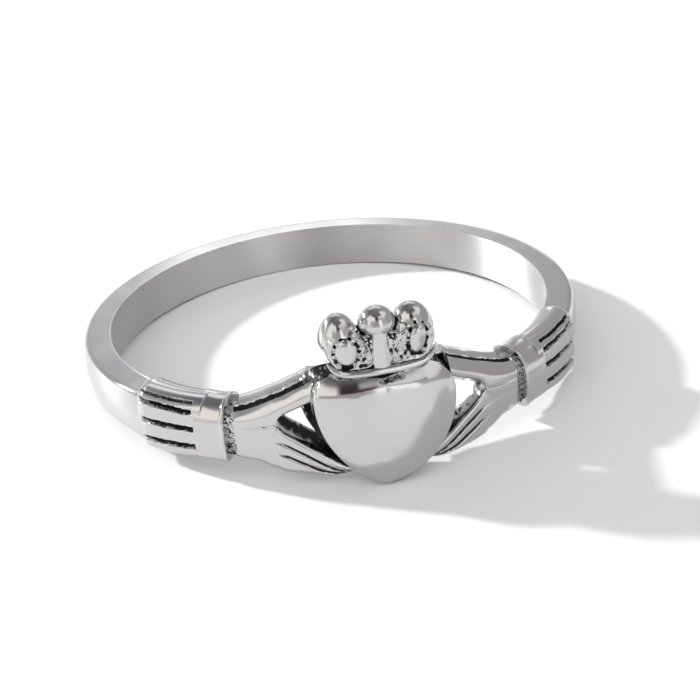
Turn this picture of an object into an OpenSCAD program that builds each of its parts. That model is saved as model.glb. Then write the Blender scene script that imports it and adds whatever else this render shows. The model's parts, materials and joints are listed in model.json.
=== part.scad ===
// Claddagh ring: two cuffed hands hold a crowned heart, cast in one piece with the band.
// It lies on its side as it comes to rest on a table: crown up (+Z), heart to the front (-Y),
// the finger hole's axis nearly upright. Millimetres and degrees.

/* [Band] */

// Diameter of the finger hole
inner_d = 17.3; // [14:0.1:22]
// Wall of the band at its edges
band_wall = 1.0; // [0.7:0.05:1.8]
// Height of the band along the finger
band_height = 1.8; // [1.4:0.05:3]
// Bulge of the band's outer face at mid height
band_dome = 0.15; // [0.05:0.01:0.4]

/* [Sleeves] */

// Length of a sleeve along the ring
sleeve_length = 3.0; // [2:0.1:4]
// How far a sleeve stands proud of the band's outer edge
sleeve_proud = 0.38; // [0.2:0.02:0.8]
// Rise of a sleeve's top above the band's top
sleeve_rise = 0.5; // [0.2:0.02:1.2]
// Drop of a sleeve's foot below the band's foot
sleeve_drop = 0.08; // [0:0.02:0.4]
// Slots in the outside of each sleeve, below the one on its shoulder
slot_count = 3; // [1:1:4]
// Width of a slot
slot_width = 0.18; // [0.1:0.01:0.3]
// Depth of a slot
slot_depth = 0.28; // [0.1:0.02:0.5]
// Solid metal at each end of a slot
slot_margin = 0.2; // [0.1:0.02:0.6]

/* [Cuffs] */

// Width of a cuff along the ring
cuff_width = 1.12; // [0.6:0.05:2]
// How far a cuff stands proud of its sleeve
cuff_proud = 0.12; // [0.05:0.01:0.4]
// Width of the groove between the cuff and the wrist
wrist_groove = 0.32; // [0.06:0.01:0.5]

/* [Hands] */

// Length of a hand from its wrist to its fingertips
hand_length = 3.8; // [3:0.05:6]
// Height of the thumb's end above the band's mid height
thumb_top = 2.3; // [1.6:0.02:3.4]
// Depth of the lowest finger below the band's mid height
finger_drop = 1.36; // [0.9:0.01:2]
// How far the back of the hand stands proud of the band's outer edge
hand_proud = 0.5; // [0.2:0.02:1]
// How far the fingers reach in behind the widest part of the heart
finger_reach = 0.85; // [0.3:0.05:1.4]
// Depth of the creases between the fingers
finger_crease = 0.16; // [0.05:0.01:0.3]

/* [Heart] */

// Width of the heart
heart_width = 4.9; // [3.5:0.02:7]
// Rise of the heart's lobes above the band's mid height
heart_rise = 2.42; // [1.6:0.01:3.4]
// Depth of the heart's tip below the band's mid height
heart_drop = 1.7; // [1:0.01:2.4]
// Turn of the heart's tip to the left about the heart's middle
heart_lean = 10; // [0:0.5:14]
// How far the middle of the heart stands proud of the band's outer edge
heart_proud = 1.15; // [0.6:0.02:2]

/* [Crown] */

// Height of the crown from its foot rail to the top of its middle bead
crown_height = 2.1; // [1.5:0.05:4]
// Width of the crown across its outer leaves
crown_width = 4.0; // [3:0.05:6]
// Width of the crown's foot rail
crown_foot = 3.3; // [2:0.05:5]
// Height of the foot rail
rail_height = 0.26; // [0.15:0.01:0.5]
// Radius of the bead on the middle of the crown
middle_bead = 0.62; // [0.3:0.01:0.9]
// Radius of the round head of an outer leaf
outer_bead = 0.74; // [0.3:0.01:0.9]
// Thickness of the crown from front to back
crown_depth = 1.35; // [0.8:0.05:2]

/* [Hidden] */

$fn = 96;

inner_r = inner_d / 2;
band_r = inner_r + band_wall;
half_band = band_height / 2;
sleeve_r = band_r + sleeve_proud;
cuff_r = sleeve_r + cuff_proud;
hand_r = band_r + hand_proud;
heart_r = band_r + heart_proud;
sleeve_top = half_band + sleeve_rise;
sleeve_foot = -half_band - sleeve_drop;
// The forms start this far inside the finger hole, which is cut last
root_r = inner_r - 0.35 * band_wall;
core_r = inner_r - 0.55 * band_wall;

// Places along the ring, as turns from the middle of the heart
function turn(arc, r) = arc / r * 180 / PI;
fingertip_turn = turn(heart_width / 2 - finger_reach, hand_r);
wrist_turn = fingertip_turn + turn(hand_length, hand_r);
cuff_from = wrist_turn + turn(wrist_groove, hand_r);
cuff_to = cuff_from + turn(cuff_width, cuff_r);
sleeve_to = cuff_to + turn(sleeve_length, sleeve_r);
// How far the band runs on inside the sleeves, and the sleeves inside the cuffs
band_overlap = turn(0.3 * cuff_width, band_r);
sleeve_overlap = turn(0.22 * cuff_width, band_r);

hand_height = thumb_top + finger_drop;
// How far the ends of a thumb and of the fingers swell past their last section
end_swell = 0.03 * hand_length;
heart_height = heart_rise + heart_drop;
// A thumb's top is flat on its inner side, as far as a crease of this depth
flat_r = band_r - 0.28 * band_wall;
flat_crease = 0.12 * band_wall;
// The front of the crown stands back from the front of the heart
rail_r = heart_r - 0.33 * heart_proud;
rail_z = heart_rise + rail_height / 2;
leaf_z = heart_rise + rail_height;
crown_back = rail_r - crown_depth;

// Columns of the tables: share of the length, then shares of the height and of the relief
ALONG = 0;
LOW = 1;
HIGH = 2;
CREST = 3;
LOWER = 4;

// Thumb, from inside the cuff to its end at the heart: share of the hand's length from the wrist,
// shares of the hand's height at its lower and upper edges, shares of the hand's relief at its
// crest and at its lower edge, which is crisp over the gap
THUMB = [
    [-0.09, 0.47, 0.66, 0.45, 0.2],
    [0.0, 0.48, 0.67, 0.62, 0.2],
    [0.05, 0.50, 0.68, 0.92, 0.3],
    [0.12, 0.52, 0.695, 1.0, 0.4],
    [0.22, 0.52, 0.725, 1.0, 0.4],
    [0.33, 0.545, 0.775, 1.0, 0.45],
    [0.43, 0.575, 0.82, 1.0, 0.75],
    [0.48, 0.605, 0.84, 1.0, 0.9],
    [0.54, 0.655, 0.865, 1.0, 0.95],
    [0.61, 0.705, 0.905, 1.02, 0.95],
    [0.72, 0.755, 0.955, 1.06, 0.95],
    [0.81, 0.79, 1.0, 1.1, 0.95],
];

// Palm and fingers: share of the hand's length, shares of its height at the foot, at the two
// creases between the fingers and at the upper edge, shares of the relief at the crest and at the
// upper edge, and share of the crease's depth
FOOT = 1;
EDGE = 4;
SWELL = 5;
RIM = 6;
CREASE = 7;
PALM = [
    [-0.09, 0.24, 0.32, 0.41, 0.50, 0.40, 0.3, 0],
    [0.0, 0.226, 0.32, 0.41, 0.52, 0.60, 0.3, 0],
    [0.05, 0.22, 0.32, 0.41, 0.53, 0.85, 0.4, 0],
    [0.12, 0.21, 0.32, 0.42, 0.535, 0.92, 0.5, 0],
    [0.22, 0.17, 0.31, 0.42, 0.54, 0.94, 0.5, 0],
    [0.33, 0.115, 0.30, 0.425, 0.55, 0.94, 0.5, 0.1],
    [0.42, 0.08, 0.28, 0.42, 0.555, 0.94, 0.6, 0.45],
    [0.46, 0.07, 0.26, 0.41, 0.53, 0.95, 0.75, 0.6],
    [0.50, 0.06, 0.235, 0.395, 0.47, 0.96, 0.9, 0.75],
    [0.57, 0.045, 0.20, 0.345, 0.415, 0.98, 0.95, 0.9],
    [0.67, 0.03, 0.145, 0.28, 0.36, 1.0, 0.98, 1],
    [0.79, 0.015, 0.085, 0.195, 0.28, 1.04, 1.0, 1],
    [0.90, 0.0, 0.04, 0.115, 0.205, 1.04, 1.0, 1],
    [1.0, 0.01, 0.03, 0.06, 0.15, 1.0, 1.0, 0.8],
];

// Sleeve from its rounded end to inside the cuff: share of its length, share of its full swell
SLEEVE = [[1.0, 0.3], [0.94, 0.58], [0.86, 0.8], [0.75, 0.94], [0.6, 1], [0.4, 1], [0.15, 0.93]];
SLEEVE_INSIDE = 0.85; // swell inside the cuff

// Heart from its root to its middle: share of the outline, share of the relief,
// and the share of the heart's height at which the bevel cuts the lobes
HEART = [
    [1.0, 0.2, 0.961],
    [1.0, 0.42, 1.0],
    [0.995, 0.60, 0.956],
    [0.985, 0.74, 0.884],
    [0.955, 0.83, 0.84],
    [0.89, 0.895, 0.811],
    [0.76, 0.94, 0.777],
    [0.52, 0.98, 0.738],
];
HEART_ROOT = [0.95, 0.884]; // outline and bevel share inside the finger hole
HEART_WAIST = 0.777; // share of the heart's height where it is widest
HEART_STEPS = 12; // points on each quarter of its outline
LOBE = 0.52; // share of the half width at which a lobe is highest
CLEFT = 0.35; // depth of the cleft as a share of the rise above the waist
heart_middle = heart_height * HEART_WAIST / 2 - heart_drop;

// Outer leaf of the crown below its round head: shares of half its width and of its height
LEAF = [
    [0.24, 0.0], [0.5, -0.02], [0.76, 0.0], [0.88, 0.18], [0.94, 0.36], [0.94, 0.52],
    [0.82, 0.66], [0.6, 0.70], [0.36, 0.62], [0.26, 0.5], [0.2, 0.3], [0.2, 0.14],
];
LEAF_MIDDLE = [0.58, 0.36];
LEAF_HEAD = 0.925; // top of the round head as a share of the leaf's height
// Leaf from back to front: share of its outline, and share of the crown's depth
LEAF_SWELL = [[1.0, 0.08], [1.0, 0.62], [0.95, 0.84], [0.82, 0.96], [0.5, 1.0]];
// Pits in the front of a leaf: shares as of the leaf, and radius as a share of the head's
PITS = [
    [0.84, 0.44, 0.095], [0.78, 0.22, 0.12], [0.58, 0.12, 0.135], [0.42, 0.2, 0.12],
    [0.36, 0.4, 0.11],
];

// At rest the ring leans on the heart's tip in front and on the band's foot edge behind
tip_r = band_r + heart_proud * HEART[0][1];
tip_z = min([for (p = heart_ring(1, tip_r, 1)) p[2]]);
rest_tilt = atan2(-tip_z - half_band, tip_r + band_r);
rest_lift = band_r * sin(rest_tilt) + half_band * cos(rest_tilt);
rest_shift = (heart_r - band_r - band_dome) / 2;

// A point at a sideways place on the front of the ring, at a radius from the ring's axis
function on_front(x, r, z) = [x, -sqrt(r * r - x * x), z];

// Faces of a closed skin over rows of equal length, with a middle point at each end
function skin_faces(rows, n) = concat(
    [for (i = [0:n - 1]) [rows * n, i, (i + 1) % n]],
    [for (k = [0:rows - 2], i = [0:n - 1]) [k * n + i, (k + 1) * n + i, k * n + (i + 1) % n]],
    [for (k = [0:rows - 2], i = [0:n - 1])
        [(k + 1) * n + i, (k + 1) * n + (i + 1) % n, k * n + (i + 1) % n]],
    [for (i = [0:n - 1]) [rows * n + 1, (rows - 1) * n + (i + 1) % n, (rows - 1) * n + i]]
);

module skin(rows, first_middle, last_middle) polyhedron(
    concat([for (row = rows) each row], [first_middle, last_middle]),
    skin_faces(len(rows), len(rows[0]))
);

// A bar whose sections of radii and heights stand across the ring at the given sideways places,
// with its ends drawn out a little to a middle point
module bar(sections, places) {
    last = len(places) - 1;
    ends = [for (k = [0, last])
        let (low = sections[k][0], high = sections[k][len(sections[k]) - 1])
        on_front(
            places[k] + (k == 0 ? end_swell : -end_swell),
            (low[0] + band_r) / 2,
            (low[1] + high[1]) / 2
        )];
    skin(
        [for (k = [0:len(places) - 1]) [for (p = sections[k]) on_front(places[k], p[0], p[1])]],
        ends[0], ends[1]
    );
}

function hand_place(share) = hand_r * sin(wrist_turn - turn(share * hand_length, hand_r));
function hand_z(share) = hand_height * share - finger_drop;
function relief(share) = band_r + hand_proud * share;
// A rounded swell from one edge (0) to the other (180 degrees), fuller as the power falls
function rounded(from, to, angle, power) = from + (to - from) * pow(sin(angle), power);

module arc_piece(from, to) rotate(from - 90) rotate_extrude(angle = to - from) children();

module band() arc_piece(cuff_to - band_overlap, 360 - cuff_to + band_overlap) intersection() {
    bulge_r = (band_dome * band_dome + half_band * half_band) / (2 * band_dome);
    translate([root_r, -half_band]) square([band_r + band_dome - root_r, band_height]);
    translate([band_r + band_dome - bulge_r, 0]) circle(bulge_r);
}

// Radii and heights round a sleeve, at a share of its full swell
function sleeve_section(swell) = let (
    steps = 12,
    foot = -half_band - sleeve_drop * swell,
    top = half_band + sleeve_rise * swell,
    edge = band_r - 0.3 * band_wall,
    crest = band_r + sleeve_proud * swell
) concat(
    [[root_r, foot]],
    [for (i = [0:steps]) let (a = 180 * i / steps)
        [rounded(edge, crest, a, 0.45), (foot + top) / 2 - (top - foot) / 2 * cos(a)]],
    [[root_r, top]]
);

module sleeve() difference() {
    rows = concat(
        [for (row = SLEEVE) [cuff_to + (sleeve_to - cuff_to) * row[ALONG], row[1]]],
        [[cuff_to - sleeve_overlap, SLEEVE_INSIDE]]
    );
    skin(
        [for (row = rows) [for (p = sleeve_section(row[1]))
            [p[0] * sin(row[0]), -p[0] * cos(row[0]), p[1]]]],
        [band_r * sin(sleeve_to), -band_r * cos(sleeve_to), 0],
        [band_r * sin(cuff_to - sleeve_overlap), -band_r * cos(cuff_to - sleeve_overlap), 0]
    );
    slot_from = cuff_to + turn(slot_margin, sleeve_r);
    slot_to = sleeve_to - turn(2 * slot_margin, sleeve_r);
    slot_pitch = (sleeve_top - sleeve_foot) / (slot_count + 1);
    for (i = [0:slot_count - 1])
        arc_piece(slot_from, slot_to) translate([
            sleeve_r - slot_depth,
            sleeve_foot + slot_pitch * (i + 0.72) - slot_width / 2
        ]) square([2 * slot_depth, slot_width]);
    // The slot on the shoulder faces half upward
    arc_piece(slot_from, slot_to)
        translate([sleeve_r - slot_depth / 2, sleeve_top - slot_depth / 2]) rotate(45)
            translate([-slot_depth / 2, -slot_width / 2]) square([2 * slot_depth, slot_width]);
}

module cuff() arc_piece(cuff_from, cuff_to) {
    rounding = 0.32 * (cuff_r - inner_r);
    translate([root_r, sleeve_foot]) square([cuff_r - rounding - root_r, sleeve_top - sleeve_foot]);
    translate([root_r, sleeve_foot + rounding])
        square([cuff_r - root_r, sleeve_top - sleeve_foot - 2 * rounding]);
    for (z = [sleeve_foot + rounding, sleeve_top - rounding])
        translate([cuff_r - rounding, z]) circle(rounding);
}

// Radii and heights round the palm and its three fingers, at a row of the table
function palm_section(row) = let (
    strip = 4, // steps across each finger
    last = 3 * strip
) concat(
    [[root_r, hand_z(row[FOOT])]],
    [for (i = [0:last]) let (
        lane = min(2, floor(i / strip)),
        part = i / strip - lane,
        edge = i < last / 2 ? 0.45 * row[SWELL] : row[RIM],
        swell = rounded(edge, row[SWELL], 180 * i / last, 0.55),
        depth = (i == 0 || i == last) ? 0 : row[CREASE] * finger_crease,
        share = row[FOOT + lane] + (row[FOOT + lane + 1] - row[FOOT + lane]) * part
    ) [relief(swell) - rounded(depth, 0, 180 * part, 0.6), hand_z(share)]],
    [[root_r, hand_z(row[EDGE])]]
);

module palm() bar(
    [for (row = PALM) palm_section(row)],
    [for (row = PALM) hand_place(row[ALONG])]
);

// Radii and heights round a thumb, with the crease on its top and the flat inner side
function thumb_section(row) = let (
    steps = 9,
    low = hand_z(row[LOW]),
    high = hand_z(row[HIGH])
) concat(
    [[root_r, low]],
    [for (i = [0:steps]) let (
        a = 180 * i / steps,
        edge = a < 90 ? relief(row[LOWER]) : flat_r + flat_crease
    ) [rounded(edge, relief(row[CREST]), a, 0.6), (low + high) / 2 - (high - low) / 2 * cos(a)]],
    [[flat_r, high - 0.8 * flat_crease], [flat_r - 0.4 * flat_crease, high], [root_r, high]]
);

module thumb() bar(
    [for (row = THUMB) thumb_section(row)],
    [for (row = THUMB) hand_place(row[ALONG])]
);

function lobe(x) = x > LOBE
    ? sqrt(max(0, 1 - pow((x - LOBE) / (1 - LOBE), 2)))
    : 1 - CLEFT * pow(1 - x / LOBE, 2);

// Half outline of the heart from its tip to its cleft, as shares of its half width and height
function heart_half() = concat(
    [for (i = [0:HEART_STEPS]) let (x = sin(90 * i / HEART_STEPS))
        [x, HEART_WAIST - HEART_WAIST * pow(max(0, 1 - pow(x, 1.4)), 0.46)]],
    [for (i = [1:HEART_STEPS]) let (x = cos(90 * i / HEART_STEPS))
        [x, HEART_WAIST + (1 - HEART_WAIST) * lobe(x)]]
);

function heart_outline() = let (half = heart_half(), last = len(half) - 1) concat(
    half,
    [for (i = [last - 1:-1:1]) [-half[i][0], half[i][1]]]
);

// One ring of the heart's skin: its outline drawn in by a share, cut off at the bevel,
// leaning at the tip
function heart_ring(scale, r, limit) = [for (p = heart_outline()) let (
    x = p[0] * heart_width / 2 * scale,
    share = HEART_WAIST / 2 + (p[1] - HEART_WAIST / 2) * scale,
    z = heart_height * min(share, limit) - heart_drop - heart_middle,
    lean = heart_lean * (1 - p[1])
) on_front(x * cos(lean) + z * sin(lean), r, heart_middle + z * cos(lean) - x * sin(lean))];

module heart() skin(
    concat(
        [heart_ring(HEART_ROOT[0], root_r, HEART_ROOT[1])],
        [for (row = HEART) heart_ring(row[0], band_r + heart_proud * row[1], row[2])]
    ),
    [0, -core_r, heart_middle],
    [0, -heart_r, heart_middle]
);

// Flat inner strip that runs from thumb to thumb behind the heart's lobes, a little thinner
// than the flat of the thumbs
module inner_strip() {
    strip_turn = wrist_turn - turn(0.7 * hand_length, hand_r);
    strip_foot = hand_z(0.8);
    strip_r = flat_r - 0.06 * band_wall;
    arc_piece(-strip_turn, strip_turn)
        translate([root_r, strip_foot]) square([strip_r - root_r, hand_z(0.985) - strip_foot]);
}

function crown_x(share) = share * crown_width / 2;
function leaf_at(share) = leaf_z + share * (crown_height - rail_height);

module leaf() difference() {
    union() {
        skin(
            [for (row = LEAF_SWELL) [for (p = LEAF)
                let (q = LEAF_MIDDLE + (p - LEAF_MIDDLE) * row[0])
                on_front(crown_x(q[0]), crown_back + crown_depth * row[1], leaf_at(q[1]))]],
            on_front(crown_x(LEAF_MIDDLE[0]), crown_back, leaf_at(LEAF_MIDDLE[1])),
            on_front(crown_x(LEAF_MIDDLE[0]), rail_r, leaf_at(LEAF_MIDDLE[1]))
        );
        translate(on_front(
            crown_width / 2 - outer_bead,
            rail_r - outer_bead,
            leaf_at(LEAF_HEAD) - outer_bead
        )) sphere(outer_bead);
    }
    for (pit = PITS)
        translate(on_front(crown_x(pit[0]), rail_r - 0.04 * crown_depth, leaf_at(pit[1])))
            sphere(pit[2] * outer_bead);
}

// Foot rail of the crown, with a root behind the heart's lobes
module rail() {
    rail_turn = turn(crown_foot / 2, rail_r);
    root_drop = 0.3 * crown_depth;
    arc_piece(-rail_turn, rail_turn) {
        translate([crown_back, heart_rise - root_drop])
            square([0.85 * crown_depth, rail_height + root_drop]);
        translate([rail_r - rail_height / 2, rail_z]) circle(rail_height / 2);
    }
}

// Plate that backs the leaves up to half their height
module plate() {
    plate_turn = turn(0.4 * crown_width, rail_r);
    arc_piece(-plate_turn, plate_turn)
        translate([crown_back + 0.11 * crown_depth, rail_z])
            square([0.55 * crown_depth, 0.5 * crown_height]);
}

module crown() {
    bead_z = heart_rise + crown_height - middle_bead;
    rail();
    plate();
    // Middle stem and its bead
    translate([0, -rail_r + 0.73 * middle_bead, rail_z])
        cylinder(r1 = 0.39 * middle_bead, r2 = 0.52 * middle_bead, h = bead_z - rail_z);
    translate([0, -rail_r + middle_bead, bead_z]) sphere(middle_bead);
    leaf();
    mirror([1, 0, 0]) leaf();
}

// The hole runs past the crown and the heart's tip
module finger_hole() translate([0, 0, -2 * heart_drop])
    cylinder(r = inner_r, h = 2 * heart_drop + 2 * (heart_rise + crown_height));

module side() {
    sleeve();
    cuff();
    palm();
    thumb();
}

module ring() color("silver") difference() {
    union() {
        band();
        side();
        mirror([1, 0, 0]) side();
        heart();
        inner_strip();
        crown();
    }
    finger_hole();
}

translate([0, rest_shift, rest_lift]) rotate([-rest_tilt, 0, 0]) ring();
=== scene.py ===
# Claddagh ring: two cuffed hands hold a crowned heart, cast in one piece with a plain band.
# The forms are joined in the order in which a jeweller builds up the wax: band, sleeves, cuffs,
# hands, heart and crown. The finger hole is bored last. Forms are made in millimetres about the
# axis of the finger hole, with the heart to the front (-Y) and the crown up (+Z).

import json
import math

import bmesh
import bpy
import numpy as np
from mathutils import Euler, Matrix, Vector, noise
from mathutils.bvhtree import BVHTree
from mathutils.kdtree import KDTree


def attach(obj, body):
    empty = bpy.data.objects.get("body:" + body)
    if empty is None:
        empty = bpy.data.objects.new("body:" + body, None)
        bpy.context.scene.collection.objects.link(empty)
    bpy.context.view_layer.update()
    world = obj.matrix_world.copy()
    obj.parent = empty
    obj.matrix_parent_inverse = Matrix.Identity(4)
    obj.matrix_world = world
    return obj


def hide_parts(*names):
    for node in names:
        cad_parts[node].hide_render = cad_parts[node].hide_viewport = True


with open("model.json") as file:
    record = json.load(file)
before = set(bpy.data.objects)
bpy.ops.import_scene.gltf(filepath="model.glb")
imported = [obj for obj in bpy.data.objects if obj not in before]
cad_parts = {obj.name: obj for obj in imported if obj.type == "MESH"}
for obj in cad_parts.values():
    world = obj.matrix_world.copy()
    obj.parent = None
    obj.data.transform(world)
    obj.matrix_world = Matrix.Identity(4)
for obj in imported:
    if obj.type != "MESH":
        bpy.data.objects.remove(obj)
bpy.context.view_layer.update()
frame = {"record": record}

scene = bpy.context.scene
scene.view_settings.view_transform = "Standard"

# Camera
# It looks down on the ring from the front left, close enough for the far side of the band
# to look smaller than the near side.

lens_data = bpy.data.cameras.new("camera")
lens_data.sensor_width = 36
lens_data.lens = 77.14
lens_data.clip_start = 0.001
lens_data.clip_end = 20
camera = bpy.data.objects.new("camera", lens_data)
camera.location = (-0.008766, -0.052947, 0.027658)
camera.rotation_euler = Euler([math.radians(a) for a in (62.8145, 4.7333, -12.4934)])
scene.collection.objects.link(camera)
scene.camera = camera

# Table and light
# A smooth white table top. Low sun comes in from the back left and throws soft edged shadows
# to the front right. The room is grey, with pale walls and two big white screens.

table_mesh = bpy.data.meshes.new("table_top")
table_side = 1.5
table_mesh.from_pydata(
    [(-table_side, -table_side, 0), (table_side, -table_side, 0),
     (table_side, table_side, 0), (-table_side, table_side, 0)], [], [(0, 1, 2, 3)])
table_top = bpy.data.objects.new("table_top", table_mesh)
scene.collection.objects.link(table_top)
white_paint = bpy.data.materials.new("white_paint")
white_paint.use_nodes = True
paint = white_paint.node_tree.nodes["Principled BSDF"]
paint.inputs["Base Color"].default_value = (0.88, 0.885, 0.90, 1)
paint.inputs["Roughness"].default_value = 0.6
table_mesh.materials.append(white_paint)

sun_data = bpy.data.lights.new("sun", "SUN")
sun_data.energy = 3.6
sun_data.angle = math.radians(4)
sun_data.color = (1.0, 0.985, 0.96)
sun = bpy.data.objects.new("sun", sun_data)
sun.rotation_euler = Vector((1.35, -1.05, -0.87)).to_track_quat("-Z", "Y").to_euler()
scene.collection.objects.link(sun)

fill_data = bpy.data.lights.new("ceiling_light", "AREA")
fill_data.shape = "DISK"
fill_data.size = 2.4
fill_data.energy = 9.0
fill = bpy.data.objects.new("ceiling_light", fill_data)
fill.location = (-0.5, -1.0, 1.6)
fill.rotation_euler = Vector((0.5, 1.0, -1.6)).to_track_quat("-Z", "Y").to_euler()
fill.visible_glossy = False
scene.collection.objects.link(fill)

room = bpy.data.worlds.new("room")
room.use_nodes = True
scene.world = room
air = room.node_tree
air.nodes.clear()


def new_node(tree, kind, inputs=None, **settings):
    """A node whose inputs, by name or number, are set to a value or linked to an output."""
    node = tree.nodes.new(kind)
    for name, value in settings.items():
        setattr(node, name, value)
    for name, value in (inputs or {}).items():
        if isinstance(value, bpy.types.NodeSocket):
            tree.links.new(value, node.inputs[name])
        else:
            node.inputs[name].default_value = value
    return node


def node_math(tree, operation, *values, **settings):
    inputs = dict(enumerate(values))
    return new_node(tree, "ShaderNodeMath", inputs, operation=operation, **settings).outputs[0]


def node_range(tree, value, low, high, to_low, to_high):
    """A value taken smoothly from one range to another and held at both ends."""
    inputs = {"Value": value, "From Min": low, "From Max": high, "To Min": to_low, "To Max": to_high}
    node = new_node(tree, "ShaderNodeMapRange", inputs, interpolation_type="SMOOTHSTEP")
    return node.outputs["Result"]


def node_mix(tree, share, colour, other):
    """A colour that gives way to another as the share goes from 0 to 1."""
    node = new_node(tree, "ShaderNodeMix", {0: share, 6: colour, 7: other}, data_type="RGBA")
    return node.outputs[2]


def room_panel(under, turn, rise, half_turn, half_rise, soft, colour):
    """An upright panel of colour in front of what is under it."""
    aside = node_math(air, "WRAP", node_math(air, "SUBTRACT", room_turn, turn), 180, -180)
    above = node_math(air, "SUBTRACT", room_rise, rise)
    share = node_math(
        air, "MULTIPLY",
        node_range(air, node_math(air, "ABSOLUTE", aside), half_turn, half_turn + soft, 1, 0),
        node_range(air, node_math(air, "ABSOLUTE", above), half_rise, half_rise + soft, 1, 0))
    return node_mix(air, share, under, (*colour, 1))


looking = new_node(air, "ShaderNodeSeparateXYZ", {
    0: new_node(air, "ShaderNodeTexCoord").outputs["Generated"]}).outputs
room_turn = node_math(air, "DEGREES", node_math(air, "ARCTAN2", looking["X"], looking["Y"]))
room_rise = node_math(air, "DEGREES", node_math(air, "ARCSINE", looking["Z"]))
# Colour of the walls from the level of the table to straight overhead
wall_stops = [(0.0, (0.86, 0.86, 0.87)), (0.34, (0.64, 0.64, 0.655)), (0.6, (0.52, 0.52, 0.54)),
              (0.8, (0.36, 0.36, 0.375)), (1.0, (0.28, 0.28, 0.29))]
wall_ramp = new_node(air, "ShaderNodeValToRGB", {0: looking["Z"]})
while len(wall_ramp.color_ramp.elements) < len(wall_stops):
    wall_ramp.color_ramp.elements.new(0.5)
for element, (place, colour) in zip(wall_ramp.color_ramp.elements, wall_stops):
    element.position = place
    element.color = (*colour, 1)
# Turn of each panel's middle to the right of straight ahead and its rise, half its width and
# height and its soft edge, all in degrees, and its colour
room_panels = [
    (72, 18, 44, 26, 16, (0.52, 0.50, 0.495)),     # grey wall on the right
    (-66, 64, 46, 10, 12, (0.22, 0.22, 0.24)),     # dark part of the ceiling
    (124, 54, 50, 12, 8, (1.15, 1.13, 1.12)),      # white screen over the front right
    (-176, 10, 22, 24, 14, (0.52, 0.51, 0.51)),    # darker wall in front
    (-113, 35, 15, 22, 7, (1.36, 1.33, 1.23)),     # white screen at the front left
    (-144, 47, 14, 10, 5, (1.33, 1.30, 1.20)),     # upper part of that screen
    (176, 69, 60, 7, 7, (0.18, 0.17, 0.175)),      # dark beam over the front
    (163, 13, 7, 24, 5, (1.55, 1.52, 1.49)),       # bright gap between two walls in front
    (8, 41, 24, 6, 5, (1.3, 1.3, 1.33)),           # window at the back
    (7.3, 22, 2.6, 3.5, 3.5, (2.05, 2.05, 2.08)),  # lower pane of the window
    (18, 12, 4, 2.5, 2, (1.4, 1.4, 1.43)),         # end of the window sill on the right
    (-10, 4, 5, 6, 4, (1.35, 1.35, 1.4)),          # bright wall under the window
    (-173, 51, 7, 9, 3, (0.05, 0.05, 0.05)),       # dark hood over the work place
    (177, 47, 8, 6, 3, (0.06, 0.055, 0.055)),      # lower side of the hood
    (154, 43, 18, 1.6, 1.6, (0.13, 0.12, 0.12)),   # long edge of the hood
    (-178, 43.5, 10, 5, 2, (0.12, 0.02, 0.03)),    # dark red cloth that hangs from it
]
room_colour = wall_ramp.outputs["Color"]
for panel in room_panels:
    room_colour = room_panel(room_colour, *panel)
backdrop = new_node(air, "ShaderNodeBackground", {"Color": room_colour})
new_node(air, "ShaderNodeOutputWorld", {"Surface": backdrop.outputs[0]})

# Band
# Plain stainless steel hoop with a flat inside, a slightly domed outside and softly rounded edges.
# The metal is the same all over the ring: cast, tumbled and polished, with the black scale of the
# casting left in the recesses that the polishing wheel doesn't reach.

inner_r = 8.65
band_wall = 1.0
band_r = inner_r + band_wall
band_height = 1.8
half_band = band_height / 2
band_dome = 0.15
root_r = inner_r - 0.35  # every form starts inside the finger hole, which is bored last
cuff_to = math.radians(39.5)  # turn from the middle of the heart to the sleeves
mm = 0.001

steel = bpy.data.materials.new("polished_steel")
steel.use_nodes = True
grain = steel.node_tree
steel_face = grain.nodes["Principled BSDF"]


def grain_noise(size, detail, stretch=(1, 1, 1)):
    """Noise in the steel, with its size given in millimetres."""
    place = new_node(grain, "ShaderNodeMapping", {
        "Vector": new_node(grain, "ShaderNodeTexCoord").outputs["Object"], "Scale": stretch})
    cloud = new_node(grain, "ShaderNodeTexNoise", {
        "Vector": place.outputs[0], "Scale": 1 / (size * mm), "Detail": detail})
    return cloud.outputs["Fac"]


def grain_math(operation, a, b):
    return node_math(grain, operation, a, b, use_clamp=True)


def grain_bump(size, detail, depth, strength, under, stretch=(1, 1, 1)):
    """Unevenness with its size and depth in millimetres, on top of what lies under it."""
    return new_node(grain, "ShaderNodeBump", {
        "Height": grain_noise(size, detail, stretch), "Distance": depth * mm,
        "Strength": strength, "Normal": under}).outputs[0]


recess = new_node(grain, "ShaderNodeAttribute", attribute_name="recess").outputs["Fac"]
inside = new_node(grain, "ShaderNodeAttribute", attribute_name="inside").outputs["Fac"]
patches = node_range(grain, grain_noise(0.16, 4), 0.35, 0.65, -0.14, 0.14)
scale_share = node_range(grain, grain_math("ADD", recess, patches), 0.44, 0.64, 0, 1)
# the inside of the finger hole gets a lighter tint of the same steel: painted brightness that stands in
# for brighter reflections on the inner wall
bare_tint_with_painted_inside_sheen = node_mix(grain, inside, (0.55, 0.545, 0.547, 1), (0.68, 0.675, 0.675, 1))
steel_tint = node_mix(grain, scale_share, bare_tint_with_painted_inside_sheen, (0.035, 0.034, 0.036, 1))
polish = node_range(grain, grain_noise(1.6, 3), 0.3, 0.7, 0.09, 0.14)
brushed = grain_math("ADD", polish, grain_math("MULTIPLY", inside, 0.40))
roughness = grain_math("ADD", brushed, grain_math("MULTIPLY", scale_share, 0.42))
soft_edge = new_node(grain, "ShaderNodeBevel", {"Radius": 0.04 * mm}, samples=4).outputs[0]
ripple = grain_bump(0.9, 2, 0.01, 0.12, soft_edge)
brush = grain_bump(0.05, 2, 0.04, grain_math("MULTIPLY", inside, 0.22), ripple, (0.06, 0.06, 1))
skin_bump = grain_bump(0.11, 5, 0.03, grain_math("MULTIPLY", scale_share, 0.9), brush)
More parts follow.
